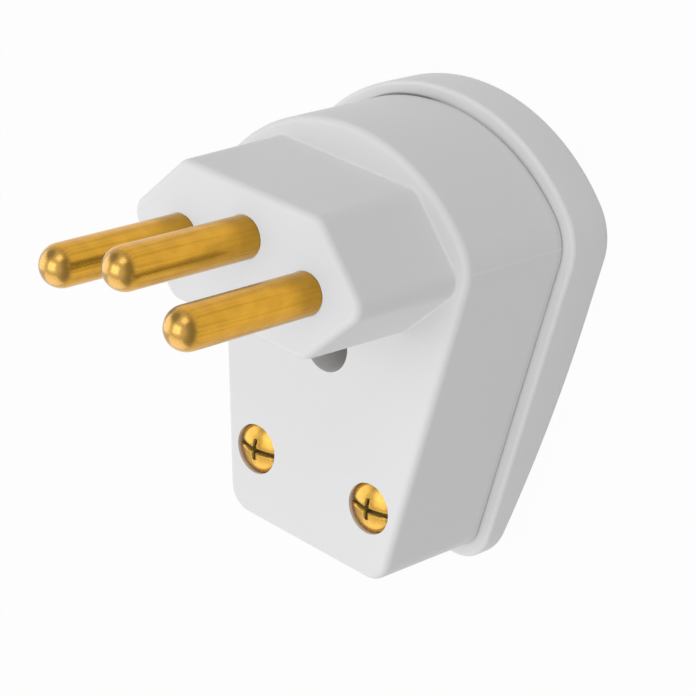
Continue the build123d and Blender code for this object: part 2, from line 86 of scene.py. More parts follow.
Colour = tuple[float, float, float]
Point = tuple[float, float, float]
Span = tuple[float, float]


class Pole(Enum):
    """The three poles of the plug, by the first word of their nodes' names."""

    LINE = "line"
    NEUTRAL = "neutral"
    EARTH = "earth"


class ScrewPlace(Enum):
    """Where a cover screw stands, by the last word of its node's name."""

    LEFT = "left"
    RIGHT = "right"
    CENTRE = "centre"


def cad(node: str) -> bpy.types.Object:
    """The CAD object of a node."""
    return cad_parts[node]


def new_object(name: str, data: bpy.types.ID) -> bpy.types.Object:
    """Makes an object and puts it into the scene.

    Args:
        name: its name.
        data: its mesh, camera or light.

    Returns:
        The new object.
    """
    made = bpy.data.objects.new(name, data)
    bpy.context.scene.collection.objects.link(made)
    return made


def dress(piece: bpy.types.Object, material: bpy.types.Material) -> None:
    """Gives a piece one material all over.

    Args:
        piece: the mesh object to dress.
        material: the finish it gets.
    """
    piece.data.materials.clear()
    piece.data.materials.append(material)


@dataclass(frozen=True)
class GroupSocket:
    """One named socket of a shader group.

    Attributes:
        name: the socket's name.
        kind: its type, such as NodeSocketFloat.
        value: the value an input starts with, or None.
    """

    name: str
    kind: str = "NodeSocketFloat"
    value: float | None = None


class Nodes:
    """A short way to write shader nodes and their links."""

    def __init__(self, tree: bpy.types.NodeTree) -> None:
        """Keeps the tree to write in.

        Args:
            tree: the node tree of a material or a group.
        """
        self.tree = tree

    def add(self, kind: str, settings: dict | None = None, **inputs: object) -> bpy.types.Node:
        """Adds a node, with its settings and its inputs by name.

        Args:
            kind: the node's type, such as ShaderNodeMath.
            settings: properties of the node itself.
            **inputs: values or output sockets, by input name with _ for a space, or by _0 or _1
                for a place.

        Returns:
            The new node.
        """
        node = self.tree.nodes.new(kind)
        for name, value in (settings or {}).items():
            setattr(node, name, value)
        for name, value in inputs.items():
            key = int(name[1:]) if name[0] == "_" else name.replace("_", " ")
            self.feed(node.inputs[key], value)
        return node

    def feed(self, socket: bpy.types.NodeSocket, value: object) -> None:
        """Links an output to a socket, or sets the socket's value.

        Args:
            socket: the input socket.
            value: an output socket, or a plain value.
        """
        if isinstance(value, bpy.types.NodeSocket):
            self.tree.links.new(value, socket)
        else:
            socket.default_value = value

    def math(
        self, operation: str, first: object, second: object = 0.0, clamp: bool = False
    ) -> bpy.types.NodeSocket:
        """The result of one calculation.

        Args:
            operation: the calculation, such as MULTIPLY.
            first: a number or an output socket.
            second: the other number or output socket.
            clamp: whether the result stays from 0 to 1.

        Returns:
            The output socket.
        """
        settings = {"operation": operation, "use_clamp": clamp}
        return self.add("ShaderNodeMath", settings, _0=first, _1=second).outputs[0]

    def product(self, first: object, *others: object) -> bpy.types.NodeSocket:
        """The product of several numbers.

        Args:
            first: a number or an output socket.
            *others: the other numbers or output sockets.

        Returns:
            The output socket.
        """
        for other in others:
            first = self.math("MULTIPLY", first, other)
        return first

    def inverse(self, value: object) -> bpy.types.NodeSocket:
        """1 less a number."""
        return self.math("SUBTRACT", 1.0, value)

    def vector(
        self, operation: str, first: object, second: object = (0, 0, 0)
    ) -> bpy.types.NodeSocket:
        """The result of one calculation with vectors.

        Args:
            operation: the calculation, such as ADD.
            first: a vector or an output socket.
            second: the other vector or output socket.

        Returns:
            The output socket: a number for LENGTH and DOT_PRODUCT, or else a vector.
        """
        node = self.add("ShaderNodeVectorMath", {"operation": operation}, _0=first, _1=second)
        return node.outputs["Value" if operation in ("LENGTH", "DOT_PRODUCT") else "Vector"]

    def distance(self, first: object, second: object) -> bpy.types.NodeSocket:
        """The length of a flat vector.

        Args:
            first: its length along one axis.
            second: its length along the other.

        Returns:
            The output socket.
        """
        return self.vector("LENGTH", self.add("ShaderNodeCombineXYZ", X=first, Y=second).outputs[0])

    def noise(
        self, vector: bpy.types.NodeSocket, scale: object, detail: float = 2.0
    ) -> bpy.types.NodeSocket:
        """Noise from 0 to 1 over a vector.

        Args:
            vector: the place.
            scale: the noise's scale, in features per metre.
            detail: how many finer layers it has.

        Returns:
            The noise's value.
        """
        inputs = {"Vector": vector, "Scale": scale, "Detail": detail}
        return self.add("ShaderNodeTexNoise", **inputs).outputs["Fac"]

    def ramp(self, value: object, start: object, end: object) -> bpy.types.NodeSocket:
        """A smooth rise from 0 at one value to 1 at another.

        Args:
            value: the number that it follows.
            start: where it is 0.
            end: where it is 1.

        Returns:
            The output socket.
        """
        settings = {"interpolation_type": "SMOOTHSTEP"}
        node = self.add("ShaderNodeMapRange", settings, Value=value, From_Min=start, From_Max=end)
        return node.outputs["Result"]

    def axes(self, vector: bpy.types.NodeSocket) -> list[bpy.types.NodeSocket]:
        """The three numbers of a vector.

        Args:
            vector: the vector's output socket.

        Returns:
            The sockets of X, Y and Z.
        """
        return list(self.add("ShaderNodeSeparateXYZ", Vector=vector).outputs)

    def place(self, centre: Point = (0, 0, 0)) -> bpy.types.NodeSocket:
        """Object coordinates, moved to a centre.

        Args:
            centre: the point that becomes the origin.

        Returns:
            The vector's output socket.
        """
        return self.vector("SUBTRACT", self.add("ShaderNodeTexCoord").outputs["Object"], centre)

    def height(self) -> bpy.types.NodeSocket:
        """The height of a place over the table, in metres."""
        return self.axes(self.place())[2]

    def mix(self, share: object, first: object, second: object) -> bpy.types.NodeSocket:
        """A blend of two colours.

        Args:
            share: how much of the second, from 0 to 1.
            first: a colour or an output socket.
            second: the other colour or output socket.

        Returns:
            The blended colour.
        """
        node = self.tree.nodes.new("ShaderNodeMix")
        node.data_type = "RGBA"
        for name, value in (("Factor_Float", share), ("A_Color", first), ("B_Color", second)):
            socket = next(s for s in node.inputs if s.identifier == name)
            colour = isinstance(value, tuple) and len(value) == 3
            self.feed(socket, (*value, 1.0) if colour else value)
        return next(s for s in node.outputs if s.identifier == "Result_Color")


def new_group(
    name: str, inputs: list[GroupSocket], outputs: list[GroupSocket]
) -> tuple[Nodes, bpy.types.Node, bpy.types.Node]:
    """Starts a shader group with named sockets.

    Args:
        name: the group's name.
        inputs: its input sockets.
        outputs: its output sockets.

    Returns:
        The writer for its tree, its input node and its output node.
    """
    tree = bpy.data.node_groups.new(name, "ShaderNodeTree")
    for direction, sockets in (("INPUT", inputs), ("OUTPUT", outputs)):
        for socket in sockets:
            made = tree.interface.new_socket(socket.name, in_out=direction, socket_type=socket.kind)
            if socket.value is not None:
                made.default_value = socket.value
    return Nodes(tree), tree.nodes.new("NodeGroupInput"), tree.nodes.new("NodeGroupOutput")


def moulded_skin_group() -> bpy.types.NodeTree:
    """The skin of a moulding: a fine spark-eroded grain over slow flow clouds.

    Returns:
        The group, with Vector and two scales in, and Grain and Cloud from 0 to 1 out.
    """
    sockets = [
        GroupSocket("Vector", "NodeSocketVector"),
        GroupSocket("Grain Scale", value=2500.0),
        GroupSocket("Cloud Scale", value=60.0),
    ]
    outputs = [GroupSocket("Grain"), GroupSocket("Cloud")]
    nodes, given, made = new_group("moulded_skin", sockets, outputs)
    grain = nodes.noise(given.outputs["Vector"], given.outputs["Grain Scale"], detail=3.0)
    cloud = nodes.noise(given.outputs["Vector"], given.outputs["Cloud Scale"], detail=2.0)
    nodes.feed(made.inputs["Grain"], grain)
    nodes.feed(made.inputs["Cloud"], cloud)
    return nodes.tree


RING_STRETCH = (0.02, 0.02, 1.0)
LINE_STRETCH = (1.0, 1.0, 0.014)


def turned_metal_group() -> bpy.types.NodeTree:
    """The skin of a turned piece: rings round its axis, drawn lines along it and slow tarnished
    blotches.

    Returns:
        The group, with Vector and three scales in, and Rings, Lines and Tarnish from 0 to 1 out.
    """
    sockets = [
        GroupSocket("Vector", "NodeSocketVector"),
        GroupSocket("Ring Scale", value=6000.0),
        GroupSocket("Line Scale", value=2500.0),
        GroupSocket("Tarnish Scale", value=400.0),
    ]
    outputs = [GroupSocket("Rings"), GroupSocket("Lines"), GroupSocket("Tarnish")]
    nodes, given, made = new_group("turned_metal", sockets, outputs)
    place = given.outputs["Vector"]
    rings = nodes.vector("MULTIPLY", place, RING_STRETCH)
    lines = nodes.vector("MULTIPLY", place, LINE_STRETCH)
    nodes.feed(made.inputs["Rings"], nodes.noise(rings, given.outputs["Ring Scale"]))
    nodes.feed(made.inputs["Lines"], nodes.noise(lines, given.outputs["Line Scale"]))
    nodes.feed(made.inputs["Tarnish"], nodes.noise(place, given.outputs["Tarnish Scale"]))
    return nodes.tree


RECESS_START = 0.2


def recess_group() -> bpy.types.NodeTree:
    """Dirt and painted shade in a screw's slots: a mask of the places inside a sphere that follows
    its head.

    It rises from a share RECESS_START of Blur below the sphere, and is whole at Blur.

    Returns:
        The group, with Vector from the sphere's centre, Radius and Blur in, and Depth out.
    """
    sockets = [
        GroupSocket("Vector", "NodeSocketVector"),
        GroupSocket("Radius", value=5.0 * MM),
        GroupSocket("Blur", value=0.3 * MM),
    ]
    nodes, given, made = new_group("recess", sockets, [GroupSocket("Depth")])
    length = nodes.vector("LENGTH", given.outputs["Vector"])
    below = nodes.math("SUBTRACT", given.outputs["Radius"], length)
    start = nodes.product(given.outputs["Blur"], RECESS_START)
    nodes.feed(made.inputs["Depth"], nodes.ramp(below, start, given.outputs["Blur"]))
    return nodes.tree


MOULDED_SKIN = moulded_skin_group()
TURNED_METAL = turned_metal_group()
RECESS = recess_group()


def new_material(name: str) -> tuple[bpy.types.Material, Nodes, bpy.types.Node]:
    """Starts a material with one Principled shader.

    Args:
        name: the material's name.

    Returns:
        The material, the writer for its tree and the shader node.
    """
    material = bpy.data.materials.new(name)
    material.use_nodes = True
    nodes = Nodes(material.node_tree)
    return material, nodes, material.node_tree.nodes["Principled BSDF"]


class Shade(Protocol):
    """A darker or lighter place on a plastic: a stain, or a painted shade, shadow or highlight."""

    def over(self, nodes: Nodes, colour: bpy.types.NodeSocket) -> bpy.types.NodeSocket:
        """Lays the shade over a colour.

        Args:
            nodes: the writer of the material's tree.
            colour: the colour below.

        Returns:
            The new colour.
        """


@dataclass(frozen=True)
class GapPaintedShadow:
    """Painted shadow in the line where the front body stands on the cover, open at the crown, with
    a soft painted shade above it.

    Attributes:
        colour: the colour of the painted shadow in the line.
        foot: the height it starts from.
        rise: its height along the sides.
        open_rise: its height at the crown.
        open_from: where it starts to open, along the plug.
        open_to: where it is fully open.
        close_from: where it starts to close again, across the plug.
        close_to: where it is closed again.
        soft: how far the soft painted shade reaches above it.
        soft_share: how much that shade darkens.
        side_share: how dark the line is along the sides, where 1 is the crown's.
        fade_from: where the sides' line starts to fade, along the plug.
        fade_to: where it is gone.
    """

    colour: Colour = (0.13, 0.13, 0.135)
    foot: float = COVER_DEPTH
    rise: float = 0.2 * MM
    open_rise: float = 0.9 * MM
    open_from: float = 8.5 * MM
    open_to: float = 12.5 * MM
    close_from: float = -3.0 * MM
    close_to: float = 6.0 * MM
    soft: float = 1.1 * MM
    soft_share: float = 0.14
    side_share: float = 0.32
    fade_from: float = -4.0 * MM
    fade_to: float = 4.0 * MM

    def over(self, nodes: Nodes, colour: bpy.types.NodeSocket) -> bpy.types.NodeSocket:
        """Lays the line's painted shadow and its soft painted shade over a colour.

        Args:
            nodes: the writer of the material's tree.
            colour: the colour below.

        Returns:
            The new colour.
        """
        out, along, height = nodes.axes(nodes.place())
        closing = nodes.inverse(nodes.ramp(out, self.close_from, self.close_to))
        crown = nodes.product(nodes.ramp(along, self.open_from, self.open_to), closing)
        opening = nodes.product(crown, self.open_rise - self.rise)
        top = nodes.math("ADD", opening, self.foot + self.rise)
        above = nodes.math("SUBTRACT", height, top)
        is_body = nodes.math("GREATER_THAN", height, self.foot + HAIR)
        soft = nodes.inverse(nodes.ramp(above, 0.0, self.soft))
        soft = nodes.product(soft, self.soft_share, is_body)
        line = nodes.product(nodes.math("LESS_THAN", above, -HAIR), is_body)
        fading = nodes.inverse(nodes.ramp(along, self.fade_from, self.fade_to))
        dark = nodes.math("MAXIMUM", crown, nodes.product(fading, self.side_share))
        share = nodes.math("MAXIMUM", nodes.product(line, dark), soft)
        return nodes.mix(share, colour, self.colour)


@dataclass(frozen=True)
class CrownPaintedShadow:
    """A painted shadow: the dark crescent on the cover's rim, where the front body stands off it at
    the crown.

    Attributes:
        colour: the painted shadow's colour.
        centre: the middle of the body's round end.
        inner: the crescent's inner radius.
        width: its width where it is widest.
        height: the height of the rim.
        rim_depth: how far below that the rim may still take it.
        middle: where it is widest, across the plug.
        reach: how far it tapers to each side of that.
        edge: how far its outer edge is blurred inwards and outwards.
        ends: the share of its width up to which its ends fade.
        share: how strong it is.
    """

    colour: Colour = (0.16, 0.16, 0.165)
    centre: Point = (0.0, -8.86 * MM, 0.0)
    inner: float = 21.7 * MM
    width: float = 0.42 * MM
    height: float = COVER_DEPTH
    rim_depth: float = 0.3 * MM
    middle: float = -9.0 * MM
    reach: float = 9.5 * MM
    edge: Span = (-0.15 * MM, 0.1 * MM)
    ends: float = 0.3
    share: float = 0.75

    def over(self, nodes: Nodes, colour: bpy.types.NodeSocket) -> bpy.types.NodeSocket:
        """Lays the crescent's painted shadow over a colour.

        Args:
            nodes: the writer of the material's tree.
            colour: the colour below.

        Returns:
            The new colour.
        """
        out, along, height = nodes.axes(nodes.place(self.centre))
        radius = nodes.distance(out, along)
        aside = nodes.math("ABSOLUTE", nodes.math("SUBTRACT", out, self.middle))
        taper = nodes.inverse(nodes.ramp(aside, 0.0, self.reach))
        past = nodes.math("SUBTRACT", radius, self.inner)
        past = nodes.math("SUBTRACT", past, nodes.product(taper, self.width))
        inside = nodes.inverse(nodes.ramp(past, *self.edge))
        on_rim = nodes.math("GREATER_THAN", height, self.height - self.rim_depth)
        at_crown = nodes.math("GREATER_THAN", along, 0.0)
        mask = nodes.product(on_rim, inside, at_crown, nodes.ramp(taper, 0.0, self.ends))
        return nodes.mix(nodes.product(mask, self.share), colour, self.colour)


@dataclass(frozen=True)
class ShoulderPaintedHighlight:
    """A painted highlight: the faint pale line on each flank, where the mould's round shoulder
    meets its straight side.

    Attributes:
        colour: the painted highlight's colour.
        along: where it stands, along the plug.
        half_width: half its width.
        out_from: how far out from the middle it starts.
        top: the height that it ends at.
        share: how strong it is.
    """

    colour: Colour = (0.9, 0.9, 0.9)
    along: float = 1.95 * MM
    half_width: float = 0.14 * MM
    out_from: float = 17.0 * MM
    top: float = FRONT_Z - 0.8 * MM
    share: float = 0.4

    def over(self, nodes: Nodes, colour: bpy.types.NodeSocket) -> bpy.types.NodeSocket:
        """Lays the painted highlight over a colour.

        Args:
            nodes: the writer of the material's tree.
            colour: the colour below.

        Returns:
            The new colour.
        """
        out, along, height = nodes.axes(nodes.place())
        off = nodes.math("ABSOLUTE", nodes.math("SUBTRACT", along, self.along))
        line = nodes.inverse(nodes.ramp(off, 0.0, self.half_width))
        flank = nodes.math("GREATER_THAN", nodes.math("ABSOLUTE", out), self.out_from)
        below = nodes.math("LESS_THAN", height, self.top)
        return nodes.mix(nodes.product(line, flank, below, self.share), colour, self.colour)


@dataclass(frozen=True)
class RecessStainAndShade:
    """What shows on the wall of a round recess: brass smear with painted brass-tinted shade where a
    screw sits, or the painted shade of a hole.

    Attributes:
        colour: the colour of the stain and painted shade.
        centre: a point on the recess's axis.
        radius: just over the recess's radius.
        below: the height that it stays under.
        share: how strong it is.
        blur: how far its upper edge is blurred.
    """

    colour: Colour
    centre: Point
    radius: float
    below: float
    share: float
    blur: float = 0.5 * MM

    def over(self, nodes: Nodes, colour: bpy.types.NodeSocket) -> bpy.types.NodeSocket:
        """Lays the stain and painted shade over a colour.

        Args:
            nodes: the writer of the material's tree.
            colour: the colour below.

        Returns:
            The new colour.
        """
        out, along, height = nodes.axes(nodes.place(self.centre))
        inside = nodes.math("LESS_THAN", nodes.distance(out, along), self.radius)
        deep = nodes.ramp(nodes.math("SUBTRACT", self.below, height), 0.0, self.blur)
        return nodes.mix(nodes.product(inside, deep, self.share), colour, self.colour)


@dataclass(frozen=True)
class MouldedPlastic:
    """A moulded plastic with a fine satin grain.

    Attributes:
        name: the material's name.
        colour: its colour.
        shade: how much darker its clouds are, as a share.
        roughness: its mean roughness.
        spread: how far the grain varies the roughness.
        grain_depth: height of the grain, in metres.
        shades: the darker and lighter places on it: stains and painted shade, shadow and highlight.
    """

    name: str
    colour: Colour
    shade: float = 0.02
    roughness: float = 0.48
    spread: float = 0.08
    grain_depth: float = 4e-6
    shades: tuple[Shade, ...] = ()

    def material(self) -> bpy.types.Material:
        """Builds the material.

        Returns:
            The new material.
        """
        material, nodes, shader = new_material(self.name)
        skin = nodes.add("ShaderNodeGroup", {"node_tree": MOULDED_SKIN}, Vector=nodes.place())
        dark = tuple(c * (1 - self.shade) for c in self.colour)
        colour = nodes.mix(skin.outputs["Cloud"], self.colour, dark)
        for shade in self.shades:
            colour = shade.over(nodes, colour)
        nodes.feed(shader.inputs["Base Color"], colour)
        grain = nodes.product(skin.outputs["Grain"], self.spread)
        roughness = nodes.math("ADD", grain, self.roughness - self.spread / 2)
        nodes.feed(shader.inputs["Roughness"], roughness)
        bump = nodes.add("ShaderNodeBump", Height=skin.outputs["Grain"], Distance=self.grain_depth)
        nodes.feed(shader.inputs["Normal"], bump.outputs[0])
        return material


@dataclass(frozen=True)
class ScrewHead:
    """The domed or flat head of a screw, as the sphere that its top follows.

    Attributes:
        centre: the sphere's centre.
        radius: the sphere's radius.
        height: how far down from the top its slots may reach.
        blur: how deep a slot is where its dirt and painted shade are full.
    """

    centre: Point
    radius: float
    height: float
    blur: float = 0.4 * MM

    def depth(self, nodes: Nodes) -> bpy.types.NodeSocket:
        """How deep a place lies in the head's slots, from 0 to 1.

        Args:
            nodes: the writer of the material's tree.

        Returns:
            The output socket.
        """
        place = nodes.place(self.centre)
        inputs = {"Vector": place, "Radius": self.radius, "Blur": self.blur}
        recess = nodes.add("ShaderNodeGroup", {"node_tree": RECESS}, **inputs)
        _, _, up = nodes.axes(place)
        in_head = nodes.math("GREATER_THAN", up, self.radius - self.height)
        return nodes.product(recess.outputs["Depth"], in_head)


@dataclass(frozen=True)
class TurnedMetal:
    """A turned or drawn metal, polished or plated.

    Attributes:
        name: the material's name.
        colour: its clean colour.
        tarnish_and_shade: its colour where it has tarnished, and of the painted shade at its root.
        dulled: the most that tarnished blotches cover, as a share.
        streaked: the most that the drawn lines cover, as a share.
        roughness: its mean roughness.
        spread: how far the drawn lines vary the roughness.
        ring_depth: height of the turning rings, in metres.
        line_depth: height of the drawn lines, in metres.
        line_scale: how many drawn lines there are in a metre round it.
        slot_grime_and_shade: the colour of the dirt and painted shade in its slots.
        grime_roughness: how much rougher its slots are where they are dirty.
        metallic: how metallic it is.
        dull_and_shade_span: the heights between which it clears from a tarnished, painted-shade
            root to clean, or None.
        dull_and_shade_share: how much the tarnished colour and painted shade cover it at its root.
        tip_span: the heights between which its tip's painted highlight and clear coat rise, or
            None.
        tip_highlight_colour: the paler colour of the painted highlight that the tip leans to.
        tip_highlight_share: how far it leans.
        coat_roughness: the roughness of the clear polish on the tip.
        mirrored: the colour that its neighbours mirror.
    """

    name: str
    colour: Colour
    tarnish_and_shade: Colour
    dulled: float = 0.5
    streaked: float = 0.0
    roughness: float = 0.24
    spread: float = 0.16
    ring_depth: float = 1e-6
    line_depth: float = 1e-6
    line_scale: float = 2500.0
    slot_grime_and_shade: Colour = (0.24, 0.16, 0.04)
    grime_roughness: float = 0.3
    metallic: float = 1.0
    dull_and_shade_span: Span | None = None
    dull_and_shade_share: float = 0.6
    tip_span: Span | None = None
    tip_highlight_colour: Colour = (0.93, 0.66, 0.24)
    tip_highlight_share: float = 0.2
    coat_roughness: float = 0.22
    mirrored: Colour = (0.5, 0.48, 0.42)

    TARNISH_SPAN: ClassVar[Span] = (0.35, 0.7)
    LINES_SPAN: ClassVar[Span] = (0.45, 0.65)

    def material(self, centre: Point, head: ScrewHead | None = None) -> bpy.types.Material:
        """Builds the material for a piece that was turned about a vertical line.

        Args:
            centre: a point on that line.
            head: the head whose slots hold dirt and painted shade, or None.

        Returns:
            The new material.
        """
        material, nodes, shader = new_material(self.name)
        inputs = {"Vector": nodes.place(centre), "Line_Scale": self.line_scale}
        skin = nodes.add("ShaderNodeGroup", {"node_tree": TURNED_METAL}, **inputs)
        dulled = nodes.product(nodes.ramp(skin.outputs["Tarnish"], *self.TARNISH_SPAN), self.dulled)
        streaks = nodes.product(nodes.ramp(skin.outputs["Lines"], *self.LINES_SPAN), self.streaked)
        covered = nodes.math("ADD", dulled, streaks, clamp=True)
        colour = nodes.mix(covered, self.colour, self.tarnish_and_shade)
        # Darker towards the root: tarnished colour and painted shade
        if self.dull_and_shade_span is not None:
            low = nodes.inverse(nodes.ramp(nodes.height(), *self.dull_and_shade_span))
            colour = nodes.mix(nodes.product(low, self.dull_and_shade_share), colour, self.tarnish_and_shade)
        rough = nodes.product(skin.outputs["Lines"], self.spread)
        rough = nodes.math("ADD", rough, self.roughness - self.spread / 2)
        # The tip leans to a paler colour, a painted highlight, under a clear coat
        if self.tip_span is not None:
            tip = nodes.ramp(nodes.height(), *self.tip_span)
            colour = nodes.mix(nodes.product(tip, self.tip_highlight_share), colour, self.tip_highlight_colour)
            nodes.feed(shader.inputs["Coat Weight"], tip)
            shader.inputs["Coat Roughness"].default_value = self.coat_roughness
        shader.inputs["Metallic"].default_value = self.metallic
        # Darker deeper in the slots: dirt and painted shade
        if head is not None:
            deep = head.depth(nodes)
            colour = nodes.mix(deep, colour, self.slot_grime_and_shade)
            rough = nodes.math("ADD", rough, nodes.product(deep, self.grime_roughness))
        nodes.feed(shader.inputs["Roughness"], rough)
        mirrored = nodes.add("ShaderNodeLightPath").outputs["Is Glossy Ray"]
        nodes.feed(shader.inputs["Base Color"], nodes.mix(mirrored, colour, self.mirrored))
        rings = nodes.product(skin.outputs["Rings"], self.ring_depth)
        lines = nodes.product(skin.outputs["Lines"], self.line_depth)
        bump = nodes.add("ShaderNodeBump", Height=nodes.math("ADD", rings, lines), Distance=1.0)
        nodes.feed(shader.inputs["Normal"], bump.outputs[0])
        return material


# Brass smear with painted brass-tinted shade on the walls of the screws' recesses, and painted
# shade in the deep middle hole
BRASS_SMEAR_AND_SHADE = (0.62, 0.43, 0.22)
HOLE_PAINTED_SHADE = (0.4, 0.4, 0.4)
LEFT_RECESS, RIGHT_RECESS = ((side * SIDE_RECESS[0], SIDE_RECESS[1], 0.0) for side in (-1, 1))
# The front body's shades: painted shadow in its foot gap, a painted highlight on each shoulder,
# brass smear with painted shade in the side recesses and painted shade in the middle hole
FRONT_SHADES = (
    GapPaintedShadow(),
    ShoulderPaintedHighlight(),
    RecessStainAndShade(BRASS_SMEAR_AND_SHADE, LEFT_RECESS, SIDE_RECESS_R + WALL_MARGIN, FRONT_Z, 0.6),
    RecessStainAndShade(BRASS_SMEAR_AND_SHADE, RIGHT_RECESS, SIDE_RECESS_R + WALL_MARGIN, FRONT_Z, 0.6),
    # Painted shade in the deep middle hole
    RecessStainAndShade(HOLE_PAINTED_SHADE, (0.0, CENTRE_WAY_Y, 0.0), CENTRE_WAY_R + WALL_MARGIN, FRONT_Z, 0.28),
)
FRONT_PLASTIC = MouldedPlastic("front_plastic", (0.79, 0.79, 0.795), shades=FRONT_SHADES)
# The cover's white is a little lighter than the front's: painted light for its brighter rim and
# sides. Its crescent at the crown is a painted shadow.
COVER_PLASTIC = MouldedPlastic("cover_plastic", (0.82, 0.82, 0.825), shades=(CrownPaintedShadow(),))
CLAMP_PLASTIC = MouldedPlastic("clamp_plastic", (0.42, 0.43, 0.45), roughness=0.5)
PIN_BRASS = TurnedMetal(
    "pin_brass",
    (0.77, 0.40, 0.042),
    (0.36, 0.19, 0.02),
    dulled=0.25,
    streaked=0.25,
    roughness=0.26,
    line_depth=1.5e-6,
    line_scale=4200.0,
    metallic=0.94,
    dull_and_shade_span=(FACE_Z - 2.0 * MM, FACE_Z + 7.0 * MM),
    tip_span=(TIP_Z - 2.3 * MM, TIP_Z - 0.5 * MM),
)
SCREW_BRASS = TurnedMetal(
    "screw_brass",
    (0.84, 0.50, 0.10),
    (0.46, 0.23, 0.035),
    dulled=0.55,
    roughness=0.27,
    ring_depth=3e-7,
    line_depth=3e-7,
)
INSERT_BRASS = TurnedMetal("insert_brass", (0.83, 0.62, 0.27), (0.60, 0.40, 0.14), roughness=0.3)
TERMINAL_STEEL = TurnedMetal(
    "terminal_steel", (0.62, 0.63, 0.66), (0.45, 0.45, 0.47), roughness=0.3
)


@dataclass
class Housing:
    """The two moulded halves that make the plug's outside.

    Attributes:
        front: the plastic of the front body.
        cover: the plastic of the back cover.
    """

    front: MouldedPlastic = FRONT_PLASTIC
    cover: MouldedPlastic = COVER_PLASTIC

    def dress(self) -> None:
        """Gives the two halves their moulded plastic, each with its own shades."""
        for node, plastic in (("front_body", self.front), ("back_cover", self.cover)):
            dress(cad(node), plastic.material())
            LOG.info("%s: moulded plastic", node)


def thread_tree() -> bpy.types.NodeTree:
    """The Geometry Nodes tree of a threaded length: an open tube that follows a right-hand helix.

    Returns:
        The tree, with the thread's centre, sizes, divisions and finish as named inputs.
    """
    tree = bpy.data.node_groups.new("threaded_length", "GeometryNodeTree")
    for name, kind in Thread.SOCKETS.items():
        tree.interface.new_socket(name=name, in_out="INPUT", socket_type=kind)
    tree.interface.new_socket(name="Geometry", in_out="OUTPUT", socket_type="NodeSocketGeometry")
    nodes = Nodes(tree)
    given = nodes.add("NodeGroupInput").outputs
    columns, rows = (nodes.math("ADD", given[name], 1) for name in ("Sides", "Rows"))
    sizes = {"Size_X": 1.0, "Size_Y": 1.0, "Vertices_X": columns, "Vertices_Y": rows}
    grid = nodes.add("GeometryNodeMeshGrid", **sizes)
    across, along, _ = nodes.axes(nodes.add("GeometryNodeInputPosition").outputs["Position"])
    turn = nodes.math("ADD", across, 0.5)
    length = nodes.math("SUBTRACT", given["High"], given["Low"])
    height = nodes.math("ADD", nodes.product(nodes.math("ADD", along, 0.5), length), given["Low"])
    helix = nodes.math("SUBTRACT", nodes.math("DIVIDE", height, given["Pitch"]), turn)
    flank = nodes.product(nodes.math("PINGPONG", helix, 0.5), 2.0)
    root = nodes.inverse(nodes.ramp(flank, *Thread.FLANK))
    from_low = nodes.math("SUBTRACT", height, given["Low"])
    from_high = nodes.math("SUBTRACT", given["High"], height)
    ends = (from_low, from_high)
    fades = [nodes.math("DIVIDE", off, given["Pitch"], clamp=True) for off in ends]
    cut = nodes.product(root, given["Depth"], *fades)
    radius = nodes.math("SUBTRACT", given["Radius"], cut)
    angle = nodes.product(turn, 2 * pi)
    out = nodes.product(nodes.math("COSINE", angle), radius)
    side = nodes.product(nodes.math("SINE", angle), radius)
    ring = nodes.add("ShaderNodeCombineXYZ", X=out, Y=side, Z=height).outputs[0]
    place = nodes.vector("ADD", ring, given["Centre"])
    tube = nodes.add("GeometryNodeSetPosition", Geometry=grid.outputs["Mesh"], Position=place)
    merging = {"Geometry": tube.outputs[0], "Distance": Thread.SEAM}
    closed = nodes.add("GeometryNodeMergeByDistance", **merging)
    plain = nodes.add("GeometryNodeRealizeInstances", Geometry=closed.outputs[0])
    finish = {"Geometry": plain.outputs[0], "Material": given["Finish"]}
    dressed = nodes.add("GeometryNodeSetMaterial", **finish)
    nodes.feed(nodes.add("NodeGroupOutput").inputs["Geometry"], dressed.outputs[0])
    return tree


